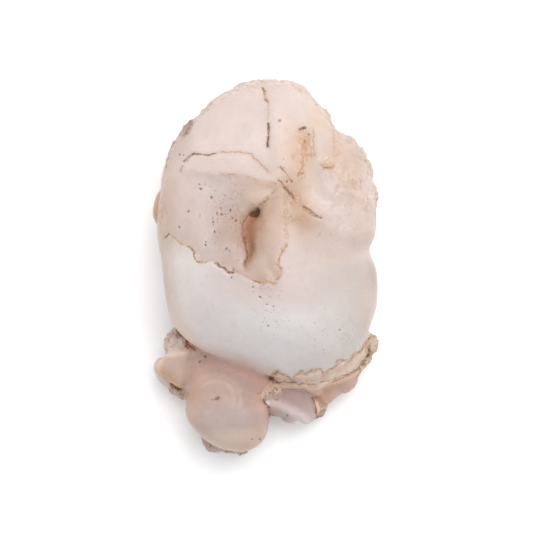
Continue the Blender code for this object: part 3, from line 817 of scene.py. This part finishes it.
# A painted highlight: a small white glint on the honey crystal
lay(WHITE, 0.6 * spot((14.3, 25.6), (1.0, 0.4), 0, 0.6))
lay((0.66, 0.50, 0.36), crystals["sliver"])
for name, colour in {
    "crust under the dome": (0.70, 0.53, 0.43),
    "ledge under the crust": (0.56, 0.36, 0.28),
    "pink foot": (0.50, 0.33, 0.26),
    "neck": (0.62, 0.42, 0.355),
    "grey druse": (0.68, 0.50, 0.44),
    "base of the ball": (0.50, 0.35, 0.28),
    "base of the fan": (0.50, 0.34, 0.265),
    "dark corner of the foot": (0.50, 0.37, 0.30),
    "pale foot": (0.48, 0.355, 0.335),
    "ball": (0.58, 0.425, 0.36),
    "pale rim of the fan": (0.66, 0.53, 0.49),
    "cream fan": (0.64, 0.47, 0.40),
    "flange": (0.62, 0.48, 0.36),
    "bump on the left rim": (0.60, 0.38, 0.25),
    "brown shard": (0.76, 0.57, 0.47),
}.items():
    lay(colour, lobes[name])
# Painted light: a paler, warmer band on the neck just under the dome's edge, against the shade there
lay((0.80, 0.53, 0.43), 0.8 * lobes["neck"] * spot((-7.5, -24.6), (12.0, 1.8), -21, 0.9))
lay((0.45, 0.36, 0.325), lobes["ball"] * spot((-9.0, -36.5), (7.0, 5.0)))
lay((0.62, 0.475, 0.405), 0.7 * spot((-12.5, -28.8), (7.5, 3.0)) * (1 - lobes["cream fan"]))
lay((0.62, 0.49, 0.41), lobes["ball"] * spot((-10.5, -42.6), (8.5, 2.6), 8))
lay(CREAM, 0.35 * lobes["ball"] * spot((-13.4, -27.2), (2.6, 1.2), 10, 0.7))
lay(CREAM, 0.4 * band(ring - INNER_RING, 0.5) * ring_side)
lay(CREAM, 0.3 * band(ring - OUTER_RING, 0.45) * ring_side)
# The druse's white patch: partly its own white, partly painted light, made paler against the dome's shade
lay((0.88, 0.78, 0.75), lobes["grey druse"] * spot((-21.8, -18.8), (3.0, 1.5), 15, 0.6))
lay((0.64, 0.44, 0.37), spot((-18.0, -19.9), (1.1, 1.2), 0, 0.5))
lay(CREAM, 0.8 * lobes["cream fan"] * band(rim_gap, 0.8))
lay((0.66, 0.42, 0.24), 0.7 * lobes["cream fan"] * band(rim_gap, 0.7) * step(24.5, 26.0, -y))
cloud_gap = np.abs(from_line(plan, [(1.0, -32.2), (4.3, -33.6), (7.0, -35.2), (10.0, -37.0)])[0])
lay((0.74, 0.65, 0.63), 0.9 * lobes["pale foot"] * band(cloud_gap, 1.2))
# Painted light on the fan's top rim, where the dome shades it
lay((0.88, 0.72, 0.64), 0.9 * spot((-21.0, -20.5), (4.4, 0.9)))
# The crust, pale along its lower edge and rusty along its upper one
lay((0.67, 0.515, 0.42), crusty)
lay(CREAM, 0.6 * foot_side * band(low_gap + 1.0, 0.4))
lay(OCHRE, 0.65 * foot_side * band(crust_gap, 0.45))
lay(TAN, top_side * 0.25 * band(crack_gap, 0.7))


def stain_and_painted_light(share, mask):
    """Darkens a patch to a share of its red, green and blue, or lightens it where the share is over 1. It
    lays real stains, and painted shade and painted light where noted.
    """
    tint[:] *= 1 + (np.array(share) - 1) * np.clip(mask, 0, 1)[:, None]


def stain_and_painted_light_patches(mask, patches):
    """Darkens or lightens soft patches within a mask, each a share, and then what spot takes."""
    for share, *where in patches:
        stain_and_painted_light(share, mask * spot(*where))


# The last tone changes, in the hollow, on the dome, the rims and the neck, and anywhere else: mostly plain
# tone, with the painted shade and painted light among them noted
stain_and_painted_light_patches(hollow, [
    ((0.95, 0.94, 0.94), (1.0, 2.0), (4.0, 9.0)),
    ((0.87, 0.84, 0.82), (-6.0, 0.2), (6.0, 2.2), -20),
    ((0.95, 0.96, 0.97), (-16.0, 12.5), (8.0, 6.0)),
    ((0.92, 0.88, 0.86), (-4.2, 9.6), (1.8, 3.0), 0, 0.6),
    ((0.86, 0.76, 0.68), (-1.0, 13.6), (2.6, 2.2), 35),
    ((0.95, 0.89, 0.83), (-1.8, 8.0), (1.4, 6.0), -8),
    ((0.92, 0.89, 0.87), (-9.8, 9.0), (3.2, 4.0)),
])
# On the dome: painted shade under the tongue's tip, over its lower left and along its right edge, among
# plain tone changes
stain_and_painted_light_patches(dome, [
    ((0.93, 0.93, 0.93), (-6.5, -2.6), (6.5, 1.8), -15),
    ((0.90, 0.88, 0.88), (0.8, -4.9), (3.0, 1.6)),
    ((0.96, 0.945, 0.94), (-13.0, -14.5), (12.0, 4.0), -25),
    ((0.92, 0.92, 0.92), (23.6, -14.8), (1.8, 3.2)),
    ((0.97, 0.965, 0.965), (-19.0, -6.0), (7.0, 10.0)),
    ((1.03, 1.05, 1.04), (19.0, -10.0), (6.0, 16.0)),
])
# Darker on the rims high up: browner on the left rim of the hollow's face, painted shade on the dome's right
# rim; then the dark brown notch in the crown's left rim
stain_and_painted_light_patches(rim_up, [
    ((0.89, 0.80, 0.71), (-25.0, 12.0), (2.8, 8.0)),
    ((0.78, 0.75, 0.73), (26.6, -1.8), (2.2, 3.6)),
    ((0.60, 0.50, 0.42), (-19.6, 33.6), (1.3, 2.4), -35, 0.6),
])
stain_and_painted_light_patches(lobes["neck"], [
    ((0.86, 0.82, 0.83), (-6.0, -26.0), (12.0, 3.0), -21, 0.7),
    ((0.94, 0.94, 0.95), (-11.0, -23.6), (8.0, 2.4), -21),
])
stain_and_painted_light_patches(1, [
    ((0.92, 0.91, 0.89), (-20.5, 5.0), (5.0, 2.4), -20),
    ((0.95, 0.90, 0.85), (7.6, 23.5), (1.8, 10.0), 4),
    ((0.92, 0.84, 0.76), (9.4, 29.0), (2.0, 4.0), 0, 0.7),
    ((0.91, 0.82, 0.76), (6.2, 17.6), (1.6, 4.0), 25),
    ((0.96, 0.92, 0.87), (9.0, 11.8), (3.2, 2.4), -30),
    ((0.94, 0.95, 0.96), (17.5, 18.0), (4.0, 3.0)),
    ((0.93, 0.88, 0.85), (-22.5, 29.5), (3.4, 8.0), -32, 0.7),
    ((0.97, 0.965, 0.965), (0.0, 29.0), (10.0, 7.0)),
    ((0.95, 0.95, 0.95), (-2.4, 31.0), (3.4, 9.0)),
    ((0.94, 0.93, 0.93), (-2.0, 24.5), (6.0, 3.0), -15),
    ((0.93, 0.94, 0.95), (22.5, 23.0), (1.4, 7.0), 10),
    ((0.92, 0.93, 0.93), (16.0, 15.2), (4.4, 1.8)),
    ((0.94, 0.94, 0.95), (17.0, 5.6), (9.0, 2.6), -12),
    ((0.94, 0.92, 0.90), (-4.0, 22.6), (10.0, 2.0), -8, 0.9),
    ((1.05, 1.07, 1.09), (7.5, 43.0), (4.0, 2.6), -30),
    ((1.03, 1.035, 1.04), (-6.0, -7.5), (9.0, 4.0), -20),
    ((0.93, 0.89, 0.89), (-13.0, -30.0), (6.0, 3.6)),
    ((0.96, 0.90, 0.85), (-18.0, -28.0), (2.2, 5.0), 20),
    # Painted light on the pale foot beside the ball, lifting the ball's shadow
    ((1.08, 1.13, 1.16), (0.6, -34.0), (2.2, 3.6)),
    # Painted light on the ball's upper right edge, lifting the shade between ball, neck and shard
    ((1.34, 1.33, 1.33), (-1.2, -33.0), (3.0, 1.5), -20),
    ((1.12, 1.11, 1.11), (1.6, -29.4), (3.5, 2.6)),
    # Painted light on the neck just under the dome's edge
    ((1.12, 1.10, 1.09), (-4.0, -25.8), (7.0, 1.4), -25),
    ((1.06, 1.06, 1.06), (21.5, 16.5), (4.0, 1.6), -15),
    ((0.93, 0.93, 0.93), (-8.5, -30.0), (5.5, 4.5)),
    ((0.85, 0.83, 0.81), (-23.8, -26.8), (2.4, 2.0), -50, 0.7),
    # Painted light in the notch between the druse and the dome, lifting its shadow
    ((1.30, 1.18, 1.12), (-18.8, -18.6), (1.6, 1.5), 0, 0.7),
    # Painted light in the corner at the pink foot's left, lifting the shade of the recess
    ((1.30, 1.20, 1.15), (13.0, -32.4), (1.8, 1.5), 0, 0.7),
])
stain_and_painted_light((0.90, 0.905, 0.925), (1 - hollow) * spot((4.0, 1.5), (13.0, 7.0), -10, 0.9))
# Painted shade along the dome's left rim
stain_and_painted_light((0.82, 0.79, 0.77), rim_up * dome * spot((-25.0, -3.5), (1.4, 6.5), 5))
# Painted shade on the ball's right side
stain_and_painted_light((0.93, 0.90, 0.89), lobes["ball"] * spot((-5.0, -34.0), (5.5, 8.0)))
stain_and_painted_light((0.94, 0.88, 0.88), lobes["pale foot"] * spot((5.5, -30.5), (5.5, 3.5)))
stain_and_painted_light((0.94, 0.92, 0.92), lobes["pink foot"] * (1 - crusty) * spot((13.0, -28.4), (3.4, 1.4), 20, 0.7))
stain_and_painted_light((1.10, 1.12, 1.13), (1 - crusty) * spot((17.0, -29.6), (6.0, 3.4), 35, 0.7))
stain_and_painted_light((0.96, 0.92, 0.90), lobes["grey druse"] * spot((-22.5, -16.5), (3.0, 2.4), 0, 0.7))
stain_and_painted_light((0.98, 0.92, 0.87), in_slot * (1 - step(0.8, 2.2, right_side)))
stain_and_painted_light((0.99, 0.95, 0.91), lobes["ball"] * (1 - spot((-9.5, -34.5), (8.0, 8.0), 0, 0.3)))
stain_and_painted_light((0.92, 0.93, 0.92), lobes["cream fan"] * (1 - lobes["ball"]))
fan_gap = from_line(plan, [(-25.4, -25.0), (-22.0, -28.4), (-18.5, -31.8)])[0]
stain_and_painted_light((1.0, 0.91, 0.82), 1 - step(0.6, 1.8, np.abs(fan_gap)))
# Painted light under the crown's ridge, lifting the cove's shade
stain_and_painted_light((1.05, 1.06, 1.06), hollow * band(ridge_gap, 1.6))
stain_and_painted_light((0.97, 0.91, 0.88), lobes["pink foot"] * (1 - crusty))
stain_and_painted_light((1.10, 1.09, 1.09), crusty)


def store(name, kind, values):
    made = stone.data.attributes.new(name, kind, "POINT")
    made.data.foreach_set("color" if kind == "FLOAT_COLOR" else "value", np.ravel(values))


speckled = 0.5 * lobes["neck"] * spot((-9.0, -24.0), (11.0, 1.6), -21, 0.6)
speckled += spot((-9.5, 10.5), (5.0, 9.5), 10, 0.5) * hollow
speckled += 0.5 * spot((0.5, -10.0), (4.0, 6.0), 0, 0.6)
speckled += 0.35 * spot((17.0, -16.5), (5.0, 5.0), 30, 0.6)
speckled += 0.4 * spot((6.0, 22.0), (3.0, 3.0), 0, 0.6)
sugary = np.clip(0.4 * drusy + crown_rim + left_rim + broken + 0.7 * crusty + blotchy + low, 0, 1)
store("tint", "FLOAT_COLOR", np.column_stack([tint, np.ones(len(tint))]))
store("crack", "FLOAT", np.where(upward > 0.3, crack, 99))
store("soot", "FLOAT", crack_dark)
store("pore", "FLOAT", np.where(upward > 0.3, pore, 99))
store("sugary", "FLOAT", sugary * (1 - 0.7 * smooth_foot))
for line, half, strength in [
    ([(-3.8, 27.1), (-2.3, 25.6), (-1.0, 24.2), (2.2, 21.8)], 0.6, 0.5), (TONGUE_SIDE, 0.8, 0.62),
    ([(6.4, 16.2), (7.4, 14.2), (6.6, 11.0)], 1.0, 0.5), (CRUST_TOP, 0.5, 0.6), (CRUST_LOW, 0.4, 0.45),
    (LIP[:12], 0.5, 0.45),
]:
    blotch = np.maximum(blotch, strength * band(from_line(plan, line)[0], half))
blotch = np.maximum(blotch, 0.4 * band(crack_gap, 0.5))
store("blotch", "FLOAT", blotch)
off_the_feet = (1 - lobes["pale foot"]) * (1 - lobes["pink foot"])
store("broken", "FLOAT", np.maximum(broken, 0.6 * low) * off_the_feet)
store("speckled", "FLOAT", np.clip(speckled + 0.06, 0, 1))

cut_below(stone, 0)
points = points_of(stone)
shift = (points.min(axis=0) + points.max(axis=0)) / 2
points[:, :2] -= shift[:2]
put_points(stone, points)
bpy.ops.object.shade_smooth()


class Wire:
    """A shader socket that can be used in Python sums."""

    tree = None

    def __init__(self, socket):
        self.socket = socket

    @classmethod
    def node(cls, kind, settings, values, output=0):
        made = cls.tree.nodes.new(kind)
        for name, value in settings.items():
            setattr(made, name, value)
        for name, value in values.items():
            if isinstance(value, Wire):
                cls.tree.links.new(value.socket, made.inputs[name])
            else:
                made.inputs[name].default_value = value
        return Wire(made.outputs[output])

    def sum(self, operation, first, second):
        return Wire.node("ShaderNodeMath", {"operation": operation}, {0: first, 1: second})

    def __add__(self, other):
        return self.sum("ADD", self, other)

    def __radd__(self, other):
        return self.sum("ADD", other, self)

    def __sub__(self, other):
        return self.sum("SUBTRACT", self, other)

    def __rsub__(self, other):
        return self.sum("SUBTRACT", other, self)

    def __mul__(self, other):
        return self.sum("MULTIPLY", self, other)

    def __rmul__(self, other):
        return self.sum("MULTIPLY", other, self)

    def ease(self, low, high):
        """0 below low, 1 above high."""
        values = {"Value": self, "From Min": low, "From Max": high}
        return Wire.node("ShaderNodeMapRange", {"interpolation_type": "SMOOTHSTEP"}, values)

    def blend(self, first, second, how="MIX"):
        """The first colour where this is 0, the second where it is 1."""
        settings = {"data_type": "RGBA", "blend_type": how}
        return Wire.node("ShaderNodeMix", settings, {0: self, 6: first, 7: second}, 2)


def attribute(name, output="Fac"):
    return Wire.node("ShaderNodeAttribute", {"attribute_name": name}, {}, output)


def noise_of(place, size, detail=3.0):
    """Noise whose lumps are about this many millimetres wide."""
    return Wire.node("ShaderNodeTexNoise", {}, {"Vector": place, "Scale": 1 / size, "Detail": detail})


def cells_of(place, size, output="Distance"):
    return Wire.node("ShaderNodeTexVoronoi", {}, {"Vector": place, "Scale": 1 / size}, output)


def red_of(colour):
    return Wire.node("ShaderNodeSeparateColor", {}, {0: colour})


finish = bpy.data.materials.new("waxy pink chalcedony")
finish.use_nodes = True
Wire.tree = finish.node_tree
shader = finish.node_tree.nodes["Principled BSDF"]
for name, value in {
    "IOR": 1.54,
    "Subsurface Weight": 0.3,
    "Subsurface Radius": (1.0, 0.55, 0.4),
    "Subsurface Scale": 0.0022,
}.items():
    shader.inputs[name].default_value = value
metres = Wire.node("ShaderNodeTexCoord", {}, {}, "Object")
place = Wire.node("ShaderNodeVectorMath", {"operation": "SCALE"}, {0: metres, "Scale": 1 / MM})
cloud = noise_of(place, 7.0)
patch = noise_of(place, 2.2)
grain = noise_of(place, 0.5, 2.0)
ragged = noise_of(place, 0.4, 2.0)
soot = attribute("soot")
speckled = attribute("speckled")
sugary = attribute("sugary")
broken = attribute("broken")
crack_line = 1 - (attribute("crack") + (ragged - 0.5) * 3.4).ease(0.4, 1.3)
gap = noise_of(place, 0.9, 2.0).ease(0.42, 0.56)
dots = cells_of(place, 0.6)
dot_size = red_of(cells_of(place, 0.6, "Color"))
dot = (1 - (dots + dot_size * 0.2).ease(0.15, 0.32)) * (speckled * 0.85 - dot_size).ease(0.0, 0.1)
pore_mark = 1 - (attribute("pore") + (ragged - 0.5) * 0.6).ease(0.5, 1.2)
chips = red_of(cells_of(place, 0.8, "Color"))
stain_noise = noise_of(place, 1.2, 6.0)
blotch = (attribute("blotch") + (stain_noise - 0.5) * 1.3).ease(0.42, 0.62)
vein_cells = Wire.node(
    "ShaderNodeTexVoronoi", {"feature": "DISTANCE_TO_EDGE"}, {"Vector": place, "Scale": 1 / 1.6})
vein = (1 - vein_cells.ease(0.0, 0.12)) * broken * noise_of(place, 1.1).ease(0.4, 0.6)

colour = attribute("tint", "Color")
colour = (cloud.ease(0.35, 0.65) * 0.8).blend(colour, (1.05, 1.03, 1.02, 1), "MULTIPLY")
colour = (patch.ease(0.45, 0.7) * 0.8).blend(colour, (0.965, 0.945, 0.93, 1), "MULTIPLY")
colour = (grain.ease(0.4, 0.75) * 0.4).blend(colour, (0.93, 0.90, 0.88, 1), "MULTIPLY")
colour = (sugary * chips.ease(0.5, 1.0) * 0.3).blend(colour, (0.78, 0.69, 0.64, 1))
colour = (sugary * (1 - chips).ease(0.6, 0.95) * 0.35).blend(colour, (0.84, 0.70, 0.60, 1), "MULTIPLY")
clay = noise_of(place, 0.35, 2.0).ease(0.5, 0.65).blend((0.62, 0.38, 0.23, 1), (0.34, 0.19, 0.11, 1))
colour = (blotch * 0.5).blend(colour, clay)
colour = (vein * 0.35).blend(colour, (0.22, 0.14, 0.10, 1))
colour = (dot * 0.5).blend(colour, (0.26, 0.18, 0.14, 1))
colour = (pore_mark * 0.65).blend(colour, (0.20, 0.14, 0.11, 1))
mark = (soot * ragged.ease(0.3, 0.55)).blend((0.47, 0.24, 0.11, 1), (0.10, 0.05, 0.025, 1))
colour = (crack_line * (0.6 + 0.35 * soot) * (gap + soot * 0.5).ease(0.0, 1.0)).blend(colour, mark)
# The whole skin a little darker, so that the lamp brings it to the shade of the real one
darker = {0: 1.0, 6: colour, 7: (0.87, 0.87, 0.87, 1)}
colour = Wire.node("ShaderNodeMix", {"data_type": "RGBA", "blend_type": "MULTIPLY"}, darker, 2)
Wire.tree.links.new(colour.socket, shader.inputs["Base Color"])
rough = 0.44 + (grain - 0.5) * 0.2 - sugary * chips * 0.2 + crack_line * 0.3
Wire.tree.links.new(rough.socket, shader.inputs["Roughness"])
height = grain * 0.02 + cells_of(place, 0.9) * sugary * 0.12 + cells_of(place, 0.7) * broken * 0.3
height = height - crack_line * soot * 0.08 - dot * 0.12 - pore_mark * 0.1 - vein * 0.15
height = height + patch * 0.05 + blotch * grain * 0.16
bump = Wire.node("ShaderNodeBump", {}, {"Strength": 1.0, "Distance": MM, "Height": height})
Wire.tree.links.new(bump.socket, shader.inputs["Normal"])
stone.data.materials.clear()
stone.data.materials.append(finish)
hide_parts("chalcedony")
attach(stone, "root")

# The table: a plain matt white board, far wider than the view, which the stone lies on loose. It glows a
# little, so that it comes out white right up to the stone's shadow.
bpy.ops.object.select_all(action="DESELECT")
bpy.ops.mesh.primitive_plane_add(size=3.0)
table = bpy.context.object
table.name = "table"
white = bpy.data.materials.new("white table")
white.use_nodes = True
board = white.node_tree.nodes["Principled BSDF"].inputs
board["Base Color"].default_value = (0.95, 0.95, 0.95, 1)
board["Roughness"].default_value = 0.9
board["Emission Color"].default_value = (1, 1, 1, 1)
board["Emission Strength"].default_value = 0.1
table.data.materials.append(white)

# Soft light: a bright white room, and one large square lamp high up, behind the stone and a little to its
# right, so that the shadow falls to the lower left.
room = bpy.data.worlds.new("room")
bpy.context.scene.world = room
room.use_nodes = True
walls = room.node_tree.nodes["Background"].inputs
walls["Color"].default_value = (0.97, 0.985, 1.0, 1)
walls["Strength"].default_value = 0.78
lamp = bpy.data.lights.new("key", "AREA")
lamp.size = 0.6
lamp.energy = 4.8
light = bpy.data.objects.new("key", lamp)
light.location = (0.16, 0.35, 0.68)
light.rotation_euler = (-light.location).to_track_quat("-Z", "Y").to_euler()
bpy.context.scene.collection.objects.link(light)

# The camera, straight above.
camera = bpy.data.objects.new("camera", bpy.data.cameras.new("camera"))
camera.data.lens = 191.4
camera.data.sensor_width = 36
camera.location = (-shift[0] * MM, -shift[1] * MM, EYE * MM)
bpy.context.scene.collection.objects.link(camera)
bpy.context.scene.camera = camera
bpy.context.scene.view_settings.view_transform = "Standard"
